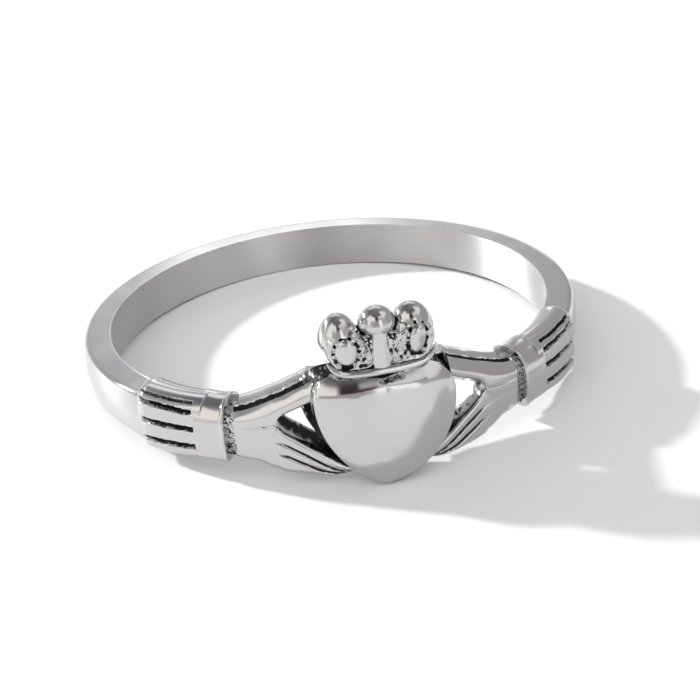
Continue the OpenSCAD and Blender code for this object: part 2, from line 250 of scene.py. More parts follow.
for name, value in (("Base Color", steel_tint), ("Roughness", roughness), ("Normal", skin_bump)):
    grain.links.new(value, steel_face.inputs[name])
for name, value in (("Metallic", 1.0), ("Anisotropic", 0.95), ("Anisotropic Rotation", 0.25)):
    steel_face.inputs[name].default_value = value


def new_tree(name, inputs):
    """A Geometry Nodes tree with named inputs, its inputs and its output node."""
    tree = bpy.data.node_groups.new(name, "GeometryNodeTree")
    tree.interface.new_socket("Geometry", in_out="INPUT", socket_type="NodeSocketGeometry")
    tree.interface.new_socket("Geometry", in_out="OUTPUT", socket_type="NodeSocketGeometry")
    for label, kind in inputs:
        tree.interface.new_socket(label, in_out="INPUT", socket_type=kind)
    return tree, tree.nodes.new("NodeGroupInput").outputs, tree.nodes.new("NodeGroupOutput")


def grown(name, tree, values, start=None):
    """The mesh that a tree makes from the given values, as a plain object."""
    holder = bpy.data.objects.new(name + "_nodes", start or bpy.data.meshes.new(name + "_start"))
    scene.collection.objects.link(holder)
    growth = holder.modifiers.new("nodes", "NODES")
    growth.node_group = tree
    for item in tree.interface.items_tree:
        if item.in_out == "INPUT" and item.name in values:
            growth[item.identifier] = values[item.name]
    depsgraph = bpy.context.evaluated_depsgraph_get()
    mesh = bpy.data.meshes.new_from_object(holder.evaluated_get(depsgraph))
    bpy.data.objects.remove(holder)
    mesh.name = name
    return mesh


def end_tree(tree, mesh):
    """Ends a tree with real geometry, made of its metal."""
    real = new_node(tree, "GeometryNodeRealizeInstances", {0: mesh})
    coated = new_node(tree, "GeometryNodeSetMaterial", {
        "Geometry": real.outputs[0], "Material": sizes["Metal"]})
    tree.links.new(coated.outputs[0], result.inputs[0])


band_tree, sizes, result = new_tree("band_sweep", [
    ("Radius", "NodeSocketFloat"), ("From", "NodeSocketFloat"), ("Sweep", "NodeSocketFloat"),
    ("Wall", "NodeSocketFloat"), ("Height", "NodeSocketFloat"), ("Dome", "NodeSocketFloat"),
    ("Rounding", "NodeSocketFloat"), ("Metal", "NodeSocketMaterial")])
hoop = new_node(band_tree, "GeometryNodeCurveArc", {
    "Resolution": 230, "Radius": sizes["Radius"],
    "Start Angle": sizes["From"], "Sweep Angle": sizes["Sweep"]})
hoop_up = new_node(band_tree, "GeometryNodeSetCurveNormal", {"Curve": hoop.outputs[0]}, mode="Z_UP")
strip_shape = new_node(band_tree, "GeometryNodeCurvePrimitiveQuadrilateral", {
    "Width": sizes["Wall"], "Height": sizes["Height"]})
rounded_shape = new_node(band_tree, "GeometryNodeFilletCurve", {
    "Curve": strip_shape.outputs[0], "Radius": sizes["Rounding"], "Count": 8}, mode="POLY")
fine_shape = new_node(band_tree, "GeometryNodeResampleCurve", {
    "Curve": rounded_shape.outputs[0], "Count": 72})
on_shape = new_node(band_tree, "ShaderNodeSeparateXYZ", {
    0: new_node(band_tree, "GeometryNodeInputPosition").outputs[0]}).outputs
is_outer = node_math(band_tree, "GREATER_THAN", on_shape["X"], 0.0)
height_share = node_math(band_tree, "DIVIDE", on_shape["Y"], sizes["Height"])
bulge = node_math(band_tree, "COSINE", node_math(band_tree, "MULTIPLY", height_share, math.pi))
outer_bulge = node_math(band_tree, "MULTIPLY", bulge, is_outer)
bulge_move = new_node(band_tree, "ShaderNodeCombineXYZ", {
    "X": node_math(band_tree, "MULTIPLY", outer_bulge, sizes["Dome"])})
domed_shape = new_node(band_tree, "GeometryNodeSetPosition", {
    "Geometry": fine_shape.outputs[0], "Offset": bulge_move.outputs[0]})
swept = new_node(band_tree, "GeometryNodeCurveToMesh", {
    "Curve": hoop_up.outputs[0], "Profile Curve": domed_shape.outputs[0], "Fill Caps": True})
end_tree(band_tree, swept.outputs[0])

band_overlap = 0.05
band_inside = 0.3
band = grown("band", band_tree, {
    "Radius": inner_r - band_inside + (band_wall + band_inside) / 2,
    "From": cuff_to - band_overlap - math.pi / 2, "Sweep": 2 * (math.pi - cuff_to + band_overlap),
    "Wall": band_wall + band_inside, "Height": band_height, "Dome": band_dome,
    "Rounding": 0.1, "Metal": steel})
casting = bpy.data.objects.new("ring_casting", band)
scene.collection.objects.link(casting)


def joined(mesh, operation="UNION"):
    """Adds a form to the casting, or cuts it out of the casting."""
    global casting
    tool = bpy.data.objects.new("tool", mesh)
    scene.collection.objects.link(tool)
    weld = casting.modifiers.new("weld", "BOOLEAN")
    weld.solver = "MANIFOLD"
    weld.operation = operation
    weld.object = tool
    depsgraph = bpy.context.evaluated_depsgraph_get()
    fused = bpy.data.meshes.new_from_object(casting.evaluated_get(depsgraph))
    casting.modifiers.clear()
    casting.data = fused
    bpy.data.objects.remove(tool)


scale_points, scale_values = [], []


def skin(name, rows, black=0.0):
    """A closed skin over rows of points, with a middle point at each end.

    black tells for each point how much of the black casting scale stays on it.
    """
    rows = np.asarray(rows, float)
    scale_points.append(rows.reshape(-1, 3))
    scale_values.append((np.zeros(rows.shape[:2]) + black).reshape(-1))
    count, around, _ = rows.shape
    points = np.vstack([rows.reshape(-1, 3), rows[0].mean(0), rows[-1].mean(0)])
    start, end = count * around, count * around + 1
    faces = []
    for i in range(count - 1):
        for j in range(around):
            k = (j + 1) % around
            faces.append((i * around + j, i * around + k, (i + 1) * around + k, (i + 1) * around + j))
    for j in range(around):
        k = (j + 1) % around
        faces.append((start, k, j))
        faces.append((end, (count - 1) * around + j, (count - 1) * around + k))
    mesh = bpy.data.meshes.new(name)
    mesh.from_pydata(points.tolist(), [], faces)
    shell = bmesh.new()
    shell.from_mesh(mesh)
    bmesh.ops.recalc_face_normals(shell, faces=shell.faces)
    shell.to_mesh(mesh)
    shell.free()
    mesh.materials.append(steel)
    return mesh


def joined_side(name, side, rows, black=0.0):
    """Adds a form worked out for the right side (1), mirrored for the left one (-1)."""
    joined(skin(name, np.asarray(rows) * np.array([side, 1.0, 1.0]), black))


# Sleeves
# The puffed end of each sleeve, cast onto the band: a long swelling with a rounded top and a
# rounded end above the band's edge. Three slots are scored in its face and one along its
# shoulder. The left sleeve came out a little shorter.

sleeve_length = 3.35
left_shorter = 0.3
sleeve_proud = 0.38
sleeve_rise = 0.5
sleeve_drop = 0.08
sleeve_r = band_r + sleeve_proud
sleeve_top = half_band + sleeve_rise
sleeve_foot = -half_band - sleeve_drop
sleeve_foot_round = 0.22
sleeve_end_round = 0.5
sleeve_to = cuff_to + sleeve_length / sleeve_r
slot_depth = 0.34
slot_half_width = 0.075
slot_rim = 0.03
slot_heights = [[-0.40, -0.58], [0.29, 0.17], [0.92, 0.96]]  # by the cuff and at the far end
shoulder_slot = 3  # comes after the three, with this share of their width and depth
shoulder_slot_width = 0.62
shoulder_slot_depth = 0.55
section_points = 104  # from the foot, round the sleeve's outside, to the finger hole
face_points = 60  # as many of them lie on the face
shoulder_points = 75  # as many lie on the face and its rolled shoulder


def smooth(x):
    x = np.clip(x, 0, 1)
    return x * x * (3 - 2 * x)


def even(curve, count):
    """Points at even distances along a curve of radii and heights, with the distance at each."""
    steps = np.hypot(*np.diff(curve, axis=0).T)
    run = np.concatenate([[0], np.cumsum(steps)])
    at = np.linspace(0, run[-1], count)
    return np.stack([np.interp(at, run, curve[:, 0]), np.interp(at, run, curve[:, 1])], 1), at


def on_angle(section, angle):
    """Radii and heights stood up at a turn from the middle of the heart."""
    r, z = section.T
    return np.stack([r * math.sin(angle), -r * math.cos(angle), z], 1)


def rolled_section(foot, top, crest, foot_round, top_in, top_round, inner_drop, bulge=0.02):
    """Outside of a rounded block from its foot to the inner edge of its rolled top."""
    a = np.radians(np.linspace(0, 90, 30))
    lower = np.stack([crest - foot_round * (1 - np.sin(a)), foot + foot_round * (1 - np.cos(a))], 1)
    t = np.linspace(0, 1, 24)[1:-1, None]
    side_from, side_to = lower[-1], np.array([crest, top - top_round])
    side = side_from + (side_to - side_from) * t
    side[:, 0] += bulge * np.sin(math.pi * t[:, 0])
    upper = np.stack([crest - top_in * (1 - np.cos(a)), top - top_round * (1 - np.sin(a))], 1)
    far = crest - top_in - (inner_r - 0.02)
    across = np.linspace(0, 1, 30)[1:]
    inner = np.stack([crest - top_in - far * across, top - inner_drop * across**2], 1)
    return np.vstack([lower, side, upper, inner])


def slot_cuts(outside, run, near, left, length, shoulder_z, ends, seed):
    """Depth of the slots at the points of the sleeve's outside."""
    depth = np.zeros(len(run))
    for i in range(shoulder_slot + 1):
        width, deepest = slot_half_width, slot_depth
        if i < shoulder_slot:
            by_cuff, far_end = slot_heights[i]
            middle_z, count = by_cuff + (far_end - by_cuff) * (near / length), face_points
        else:
            middle_z, count = shoulder_z, shoulder_points
            width *= shoulder_slot_width
            deepest *= shoulder_slot_depth
        middle = np.interp(middle_z, outside[:count, 1], run[:count])
        middle = middle + 0.02 * noise.noise(Vector((near * 2.5, i * 5.1, seed)))
        width *= 1 + 0.3 * noise.noise(Vector((near * 6, i * 3.7, seed + 2)))
        begin = smooth((near - 0.02 - 0.3 * ends[i, 0]) / 0.07)
        end = smooth((left - 0.2 - ends[i, 1]) / 0.12)
        groove = 1 - smooth((np.abs(run - middle) - width + slot_rim) / (2 * slot_rim))
        uneven = 0.85 + 0.3 * noise.noise(Vector((near * 5, i * 7.3, seed)))
        depth += groove * float(begin * end) * deepest * uneven
    return depth


def sleeve_rows(length, seed):
    far_turn = cuff_to + length / sleeve_r
    dice = np.random.default_rng(seed)
    ends = dice.uniform(0.0, 0.2, (shoulder_slot + 1, 2))  # how uneven the slots' ends are
    rows, black = [], []
    for angle in np.linspace(cuff_to - 0.03, far_turn, 78):
        near = (angle - cuff_to) * sleeve_r
        left = (far_turn - angle) * sleeve_r  # to the rounded end
        end_round = math.sqrt(max(0.0, 1 - (1 - min(1.0, left / sleeve_end_round)) ** 2))
        face_round = float(smooth(left / 0.9 + 0.2))
        foot = sleeve_foot + 0.13 * (1 - float(smooth(near / 1.5))) + 0.05 * (1 - face_round)
        sag = 0.1 * (near / length - 0.5) ** 2 - 0.02
        top = half_band - 0.06 + (sleeve_rise + 0.06) * end_round + sag
        crest = band_r - 0.03 + (sleeve_proud + 0.03) * face_round
        top_round = min(0.55, 0.25 + 0.3 * end_round)
        outside = rolled_section(
            foot, top, crest, sleeve_foot_round, 1.2 * top_round, top_round, 0.24 * end_round)
        outside, run = even(outside, section_points)
        lean = np.gradient(outside, axis=0)
        lean /= np.maximum(np.hypot(*lean.T), 1e-9)[:, None]
        inward = np.stack([-lean[:, 1], lean[:, 0]], 1)
        shoulder_z = top - 0.30 * top_round
        depth = slot_cuts(outside, run, near, left, length, shoulder_z, ends, seed)
        outside = outside + inward * depth[:, None]
        section = np.vstack([[[root_r, foot]], outside, [[root_r, outside[-1, 1]]]])
        rows.append(on_angle(section, angle))
        black.append(np.concatenate([[0], smooth((depth / slot_depth - 0.18) / 0.3), [0]]))
    return rows, black


for side, length, seed in ((1, sleeve_length, 3), (-1, sleeve_length - left_shorter, 8)):
    joined_side("sleeve", side, *sleeve_rows(length, seed))

# Cuffs
# A plain block with rolled shoulders round each wrist, cast in one with its sleeve. A thin lip
# stands out on the side of the hand.

cuff_width = 1.24
cuff_proud = 0.12
cuff_r = sleeve_r + cuff_proud
cuff_from = cuff_to - cuff_width / cuff_r
cuff_foot = -0.82
cuff_shoulder = 0.95
cuff_corner = 0.07
cuff_lip = 0.035


def cuff_rows():
    rows = []
    shares = np.concatenate([
        np.linspace(0, 0.1, 6), np.linspace(0.14, 0.80, 12), np.linspace(0.82, 1, 14)])
    for share in shares:
        angle = cuff_to - share * (cuff_to - cuff_from)
        from_edge = min(share, 1 - share) * cuff_width
        draw_in = cuff_corner * (1 - math.sqrt(1 - (1 - min(1, from_edge / cuff_corner)) ** 2))
        lip = cuff_lip * float(smooth((share - 0.86) / 0.05))
        hollow = 0.02 * math.sin(math.pi * min(1, share / 0.9))
        crest = cuff_r - draw_in + lip - hollow
        foot = cuff_foot + draw_in - 0.3 * lip
        top = sleeve_top + 0.02 - draw_in + 0.6 * lip - hollow
        outside, _ = even(
            rolled_section(foot, top, crest, 0.3, cuff_shoulder, cuff_shoulder, 0.24, 0.03), 90)
        section = np.vstack([[[root_r, foot]], outside, [[root_r, outside[-1, 1]]]])
        rows.append(on_angle(section, angle))
    return rows


for side in (1, -1):
    joined_side("cuff", side, cuff_rows())

# Hands
# The back of each hand comes out of its cuff over a rough groove. The thumb, flat on the finger
# side and scored along its top, runs up to the heart's shoulder. Three fingers run in under the
# heart. The gap between them is pierced and keeps its rough cast walls.

hand_length = 3.8
thumb_top = 2.3
finger_drop = 1.36
hand_proud = 0.5
hand_r = band_r + hand_proud
hand_height = thumb_top + finger_drop
heart_width = 4.95
finger_reach = 0.85
flat_r = band_r - 0.28
gap_floor = inner_r - 0.2
under_rise = 0.5  # the underside slopes up to the finger hole
crease_depth = 0.09
crease_half_width = 0.04
back_crease_depth = 0.035
finger_step = 0.035  # from one finger down to the next
rough_depth = 0.022
wrist_rough = 0.016
gap_opens = 0.40  # shares of the hand's length where the gap opens and the thumb ends
thumb_ends = 0.80
fingertip_turn = (heart_width / 2 - finger_reach) / hand_r
wrist_turn = fingertip_turn + hand_length / hand_r

# Share of the hand's length from the wrist, shares of its height at the thumb's lower and upper
# edge, share of the relief at its crest
thumb_table = [
    [-0.09, 0.50, 0.655, 0.62],
    [0.0, 0.51, 0.665, 0.78],
    [0.045, 0.52, 0.675, 0.93],
    [0.12, 0.53, 0.695, 0.98],
    [0.22, 0.54, 0.728, 1.0],
    [0.33, 0.555, 0.775, 1.0],
    [0.41, 0.585, 0.812, 1.0],
    [0.46, 0.63, 0.833, 1.0],
    [0.52, 0.675, 0.858, 1.0],
    [0.61, 0.72, 0.905, 1.02],
    [0.72, 0.77, 0.957, 1.05],
    [0.81, 0.82, 1.0, 1.08],
    [1.1, 0.9, 1.0, 1.08],
]
# Share of the length, shares of the height at the foot, two creases and the upper edge, share of
# the relief at the crest, share of the creases' depth
palm_table = [
    [-0.09, 0.205, 0.31, 0.40, 0.52, 0.60, 0],
    [0.0, 0.195, 0.31, 0.40, 0.53, 0.75, 0],
    [0.045, 0.19, 0.31, 0.40, 0.535, 0.90, 0],
    [0.12, 0.18, 0.31, 0.41, 0.545, 0.95, 0],
    [0.22, 0.17, 0.30, 0.41, 0.55, 0.96, 0],
    [0.33, 0.115, 0.285, 0.405, 0.56, 0.96, 0.05],
    [0.41, 0.085, 0.265, 0.39, 0.56, 0.96, 0.2],
    [0.45, 0.07, 0.25, 0.375, 0.545, 0.96, 0.45],
    [0.50, 0.06, 0.235, 0.35, 0.49, 0.97, 0.7],
    [0.57, 0.045, 0.195, 0.305, 0.435, 0.98, 0.9],
    [0.67, 0.03, 0.14, 0.242, 0.368, 1.0, 1],
    [0.79, 0.015, 0.075, 0.158, 0.285, 1.03, 1],
    [0.90, 0.0, 0.04, 0.085, 0.21, 1.03, 1],
    [1.0, 0.01, 0.02, 0.045, 0.14, 1.0, 0.8],
    [1.1, 0.02, 0.03, 0.04, 0.09, 0.95, 0.3],
]
# The score along the thumb's top: share of the way from its outer to its inner edge, height over
# the thumb's edge, share of black scale
score_table = np.array([
    [0.03, -0.04, 0], [0.10, -0.14, 1], [0.22, -0.24, 1], [0.36, -0.27, 0.75], [0.50, -0.22, 0.3],
    [0.64, -0.27, 0.75], [0.78, -0.25, 1], [0.90, -0.14, 1], [0.97, -0.03, 0.1]])
# What differs between the hands, the right one first: seed of the rough skin, fall of the palm's
# and of the thumb's wall in the gap, how far the thumb's face leans back, how bare of scale the
# upper wall of the gap is, how black the crease behind the gap is
hand_sides = {1: (2, 12, 1.4, 0.42, 0.74, 0), -1: (6, 7, 6.0, 0.31, 0, 0.62)}


def follow(table, at):
    """A smooth curve through the rows of a table that doesn't overshoot them."""
    table = np.array(table, float)
    x, y = table[:, 0], table[:, 1:]
    slope = np.diff(y, axis=0) / np.diff(x)[:, None]
    before, after = slope[:-1], slope[1:]
    same = before * after > 0
    bend = np.zeros_like(y)
    bend[1:-1] = np.where(same, 2 * before * after / np.where(same, before + after, 1), 0)
    bend[0], bend[-1] = slope[0], slope[-1]
    at = np.atleast_1d(at)
    k = np.clip(np.searchsorted(x, at) - 1, 0, len(x) - 2)
    step = (x[k + 1] - x[k])[:, None]
    t = ((at - x[k]) / (x[k + 1] - x[k]))[:, None]
    return ((2 * t**3 - 3 * t**2 + 1) * y[k] + (t**3 - 2 * t**2 + t) * step * bend[k]
            + (3 * t**2 - 2 * t**3) * y[k + 1] + (t**3 - t**2) * step * bend[k + 1])


def hand_place(share):
    return hand_r * math.sin(wrist_turn - share * hand_length / hand_r)


def hand_z(share):
    return hand_height * share - finger_drop


def on_front(section, x):
    """Radii and heights stood up across the ring at a sideways place on its front."""
    r, z = section.T
    return np.stack([np.full(len(r), x), -np.sqrt(r**2 - x * x), z], 1)


def grain_at(x, z, size, seed):
    """Unevenness of the raw casting, between about -1 and 1."""
    return np.array([noise.noise(Vector((x / size, h / size, seed))) * 1.6 for h in z])


def grain_on(x, z, r, size, seed):
    return np.array([noise.noise(Vector((x / size, h / size + seed, q / size))) * 1.6
                     for h, q in zip(z, r)])


def pillow(z, low, high, crest, edge_round, dome, draft):
    """Radius of a rounded ridge between two heights, with steep cast walls outside them."""
    within = np.minimum(z - low, high - z)
    corner = np.clip(1 - within / edge_round, 0, 1)
    r = crest - edge_round * (1 - np.sqrt(1 - corner**2)) * 0.9
    half = max((high - low) / 2, 0.05)
    r = r - dome * np.clip((z - (low + high) / 2) / half, -1, 1) ** 2
    return r - draft * np.maximum(0, -within)


def palm_back(z, foot, rim, creases, crest, crease_share, open_wide, fall):
    """Radii over the palm, which is scored between its fingers, and the scale in the creases."""
    edge_round = 0.20 + 0.02 * open_wide
    dome = 0.05 + 0.10 * (1 - open_wide)
    r = pillow(z, foot - 0.02, rim, crest, edge_round, dome, 2.2 + fall * open_wide)
    black = np.zeros(len(z))
    for crease_z in creases:
        line = crease_share * np.exp(-np.abs((z - crease_z) / crease_half_width) ** 1.5)
        r = r - crease_depth * line
        black = np.maximum(black, smooth((line - 0.3) / 0.35))
        above = np.clip(1 - (z - crease_z) / 0.3, 0, 1) * (z > crease_z)
        r = r - crease_share * finger_step * above
    return r, black


def thumb_face(z, low, high, lean_from, crest, fall, lean_back, at_end):
    """Radii over the thumb, whose face leans back towards its top and is cut off at its end."""
    r = pillow(z, low, high + 0.3, crest, 0.22, 0.0, fall)
    r = r - 6 * np.maximum(0, low - 0.28 - z)
    across = np.clip((z - lean_from) / (high - lean_from), 0, 1)
    r = r - lean_back * np.clip((across - 0.35) / 0.65, 0, 1) ** 2.2
    return r * (1 - at_end) + gap_floor * at_end


def scored_top(x, edge_r, high, score, at_end, seed):
    """The scored groove and the flat inner side along the thumb's top, with their scale."""
    inner_edge = flat_r + 0.02
    inward, over, scale = score_table.T
    ragged = 0.025 * grain_at(x, np.linspace(0, 0.8, len(scale)), 0.14, seed + 9)
    groove_r = edge_r - inward * max(edge_r - inner_edge, 0.02) + 0.5 * ragged * score
    groove_z = high + over * score + (1 - score) * -0.03 + ragged * score
    groove_r = groove_r * (1 - at_end) + (gap_floor - 0.001 * np.arange(len(scale))) * at_end
    flat = np.array([
        [inner_edge - 0.02, high - 0.045], [inner_edge - 0.1, high - 0.015],
        [inner_edge - 0.25, high], [inner_edge - 0.42, high - 0.01],
        [inner_r + 0.1, high - 0.05], [inner_r, high - 0.1]])
    sunk = gap_floor - 0.01 - 0.02 * np.arange(len(flat))
    flat[:, 0] = flat[:, 0] * (1 - at_end) + sunk * at_end
    black = np.clip(score * scale - 4 * ragged, 0, 1) * (1 - at_end)
    return (np.vstack([np.stack([groove_r, groove_z], 1), flat]),
            np.concatenate([black, np.zeros(len(flat))]))


def hand_rows(side):
    seed, palm_fall, thumb_fall, lean_back, bare_wall, crease_scale = hand_sides[side]
    rows, black = [], []
    shares = np.concatenate([
        np.linspace(-0.09, 0.1, 18), np.linspace(0.12, 0.40, 20), np.linspace(0.41, 0.78, 42),
        np.linspace(0.785, 0.83, 12), np.linspace(0.845, 1.1, 14)])
    for share, thumb, palm in zip(shares, follow(thumb_table, shares), follow(palm_table, shares)):
        x = hand_place(share)
        thumb_foot, high = hand_z(thumb[0]), hand_z(thumb[1])
        foot, crease_low, crease_high, palm_top = (hand_z(v) for v in palm[:4])
        dividing = 0.5 * (thumb_foot + palm_top)
        at_end = float(smooth((share - thumb_ends) / 0.018))  # the thumb's end is square
        open_wide = float(smooth((share - gap_opens) / 0.06))
        low, rim = thumb_foot - 0.4 * (1 - open_wide), palm_top + 0.4 * (1 - open_wide)
        palm_crest = band_r + hand_proud * palm[4]
        thumb_crest = band_r + hand_proud * thumb[2]
        z = foot + (high - 0.03 - foot) * np.linspace(0, 1, 118)
        palm_r, creases_black = palm_back(
            z, foot, rim, (crease_low, crease_high), palm_crest, palm[5], open_wide, palm_fall)
        thumb_r = thumb_face(z, low, high, thumb_foot, thumb_crest, thumb_fall, lean_back, at_end)
        soft = 0.03
        r = 0.5 * (palm_r + thumb_r + np.sqrt((palm_r - thumb_r) ** 2 + soft**2)) - soft / 2
        # where thumb and palm are one, only a faint crease runs back from the gap
        crease = (1 - open_wide) * (0.3 + 0.7 * float(smooth((share - 0.02) / 0.3)))
        r = r - back_crease_depth * crease * np.exp(-(((z - dividing) / crease_half_width) ** 2))
        line = smooth((share - 0.16) / 0.1) * crease * np.exp(-(((z - dividing) / 0.03) ** 2))
        creases_black = np.maximum(creases_black, crease_scale * line)
        # the walls of the gap and the wrist are as cast, and keep the black scale
        deep = smooth((np.maximum(palm_crest, thumb_crest) - 0.3 - r) / 0.25)
        wall = grain_on(x, z, r, 0.13, seed) + 0.5 * grain_on(x, z, r, 0.06, seed + 3)
        wall_black = deep * (0.92 - bare_wall * (z > dividing) + 0.32 * wall)
        at_wrist = 1 - float(smooth((share + 0.005) / 0.07))
        rough = 0.8 * grain_at(x, z, 0.16, seed) + 0.7 * grain_at(x, z, 0.07, seed + 4)
        fine = grain_at(x, z, 0.065, seed + 11)
        wrist_black = at_wrist * (0.38 + 0.75 * fine + 0.5 * (z < foot + 0.15))
        r = r + rough_depth * rough * deep + wrist_rough * fine * at_wrist
        r = np.maximum(r, gap_floor)
        score = float(smooth((share - 0.03) / 0.08)) * (1 - at_end)
        top, top_black = scored_top(x, r[-1], high, score, at_end, seed)
        section = np.vstack([
            [[root_r, foot + under_rise]], np.stack([r, z], 1), top, [[root_r, high - 0.12]]])
        rows.append(on_front(section, x))
        side_black = np.maximum(np.maximum(wall_black, wrist_black), creases_black)
        black.append(np.concatenate([[0], side_black, top_black, [0]]))
    return rows, black


for side in hand_sides:
    joined_side("hand", side, *hand_rows(side))

# Heart
# A polished pillow, broken by a bevel along the top of its lobes. Its tip leans a little to the
# left. Its sides fall steeply to the finger hole and keep the rough cast skin. A flat strip
# behind the lobes joins the two thumbs.

heart_rise = 2.42
heart_drop = 1.70
heart_height = heart_rise + heart_drop
heart_proud = 1.15
heart_r = band_r + heart_proud
heart_lean = math.radians(10)
heart_aside = 0.09
heart_waist = 0.777
heart_middle = heart_height * heart_waist / 2 - heart_drop
lobe_at = 0.52
cleft = 0.14
break_z = 1.92
break_r = 10.74
bevel_slope = 0.72
bevel_curl = 0.30
tip_roll = 0.07
lobe_lift = 0.14
side_rough = 0.022

# Share of the way from the middle of the face to the root, shares of the outline and the relief
heart_table = [
    [0.0, 0.0, 1.0], [0.25, 0.40, 0.985], [0.42, 0.65, 0.945], [0.54, 0.83, 0.89], [0.63, 0.93, 0.835],
    [0.70, 0.985, 0.785], [0.76, 1.0, 0.70], [0.82, 1.015, 0.5], [0.91, 1.08, 0.1], [1.0, 1.12, -0.4]]


def heart_outline(steps):
    half = []
    for i in range(steps + 1):
        x = math.sin(math.pi / 2 * i / steps)
        half.append([x, heart_waist - heart_waist * (1 - x**1.4) ** 0.46])
    for i in range(1, steps + 1):
        x = math.cos(math.pi / 2 * i / steps)
        if x > lobe_at:
            lobe = math.sqrt(max(0, 1 - ((x - lobe_at) / (1 - lobe_at)) ** 2))
        else:
            lobe = 1 - cleft * (1 - x / lobe_at) ** 2
        half.append([x, heart_waist + (1 - heart_waist) * lobe])
    half = np.array(half)
    return np.vstack([half, (half[1:-1] * [-1, 1])[::-1]])


def bevelled(r, x, z):
    """The heart's face cut off by the bevel along the top of its lobes, with a soft edge."""
    bevel = break_r - (z - break_z) * bevel_slope - bevel_curl * np.maximum(0, z - break_z) ** 2
    bevel = bevel - 0.16 * np.abs(x / 2.25) ** 5
    soft = 0.025
    blended = 0.5 * (r + bevel - np.sqrt((r - bevel) ** 2 + soft**2))
    return np.where(np.abs(r - bevel) < 6 * soft, blended, np.minimum(r, bevel))


def heart_rows():
    outline = heart_outline(50)
    shares = np.concatenate([np.linspace(0.02, 0.5, 14), np.linspace(0.52, 1.0, 34)])
    rows, black = [], []
    for share, (scale, swell) in zip(shares, follow(heart_table, shares)):
        flare = smooth((outline[:, 1] - 0.1) / 0.15) * smooth((0.1 - outline[:, 0]) / 0.3)
        spread = 1 + (scale - 1) * (flare if scale > 1 else 1)
        x = outline[:, 0] * heart_width / 2 * spread
        shrink = min(scale, 1)
        z = heart_height * (heart_waist / 2 + (outline[:, 1] - heart_waist / 2) * shrink) - heart_drop
        r = np.full(len(x), band_r + heart_proud * swell)
        # the tip is blunt: its lower edge is rolled up a little towards the face
        z = z + tip_roll * smooth((r - 10.2) / 0.5) * (1 - smooth((outline[:, 1] - 0.02) / 0.12))
        on_lobe = smooth((outline[:, 1] - 0.8) / 0.2) * smooth((np.abs(x) - 0.5) / 0.6)
        z = z + lobe_lift * on_lobe * shrink
        r = bevelled(r, x, z)
        lean = heart_lean * (1 - outline[:, 1])
        rise = z - heart_middle
        across = x * np.cos(lean) + rise * np.sin(lean) - heart_aside
        up = heart_middle + rise * np.cos(lean) - x * np.sin(lean)
        if share > 0.78:
            push = side_rough * min(1, (share - 0.78) / 0.06)
            for i in range(len(across)):
                across[i] += push * noise.noise(Vector((across[i] * 9, up[i] * 9, r[i] * 9)))
        rows.append(np.stack([across, -np.sqrt(r * r - across**2), up], 1))
        wall = float(smooth((share - 0.80) / 0.05)) * smooth((outline[:, 1] - 0.12) / 0.1)
        black.append(wall * np.array([0.75 + 0.6 * noise.noise(Vector((a * 6, b * 6, share * 9)))
                                      for a, b in zip(across, up)]))
    return rows, black


joined(skin("heart", *heart_rows()))

strip_turn = wrist_turn - 0.7 * hand_length / hand_r
strip_foot, strip_top = hand_z(0.8), hand_z(0.985)
strip_shape = np.array([
    [root_r, strip_foot], [flat_r - 0.06, strip_foot], [flat_r - 0.06, strip_top - 0.05],
    [flat_r - 0.11, strip_top], [root_r, strip_top]])
strip_rows = [on_angle(strip_shape, angle) for angle in np.linspace(-strip_turn, strip_turn, 60)]
joined(skin("inner_strip", strip_rows))

# Crown
# Two leaves with round heads and a stem with a bead stand on a rail over the heart. A raised
# petal lies in each leaf inside a ring of small pits, and the ground between them is rough.

crown_height = 2.1
crown_width = 4.0
crown_foot = 3.3
rail_height = 0.26
rail_r = heart_r - 0.33 * heart_proud
rail_z = heart_rise + rail_height / 2
leaf_z = heart_rise + rail_height
crown_depth = 1.35
crown_back = rail_r - crown_depth
middle_bead = 0.62
outer_bead = 0.74
head_stretch = 1.44
stem_half_width = 0.36
petal_swell = 0.13
petal_ring_dip = 0.06
plate_front = 10.22
plate_half_width = 0.62
# Sideways place and height of the petal's middle, half its width and height, its lean
petals = {-1: (1.2, 3.34, 0.39, 0.48, 0.0), 1: (1.25, 3.45, 0.31, 0.53, math.radians(10))}


def leaf_at(share):
    return leaf_z + share * (crown_height - rail_height)


def rounded_curve(points, steps, closed):
    """A smooth curve through a few points."""
    p = np.array(points, float)
    n = len(p)
    dense = []
    for i in range(n if closed else n - 1):
        near = [(i + k) % n if closed else min(max(i + k, 0), n - 1) for k in (-1, 0, 1, 2)]
        a, b, c, d = p[near]
        for t in np.linspace(0, 1, steps, endpoint=False):
            dense.append(0.5 * (2 * b + (c - a) * t + (2 * a - 5 * b + 4 * c - d) * t**2
                                + (3 * b - a - 3 * c + d) * t**3))
    dense.append(dense[0] if closed else p[-1])
    return np.array(dense)


# Shares of half the crown's width and of its height round a leaf, and the point it swells from
leaf_points = [[0.2, 0.0], [0.5, -0.02], [0.76, 0.0], [0.88, 0.18], [0.94, 0.36], [0.94, 0.52],
               [0.82, 0.66], [0.6, 0.70], [0.36, 0.62], [0.24, 0.5], [0.17, 0.3], [0.16, 0.14]]
leaf_middle = np.array([0.58, 0.36])
# Share of the way from the leaf's back to its middle, shares of its outline and of its depth
leaf_swell = [[0.0, 1.0, 0.08], [0.4, 1.0, 0.62], [0.52, 0.985, 0.80], [0.6, 0.95, 0.88],
              [0.68, 0.88, 0.905], [1.0, 0.05, 0.905]]


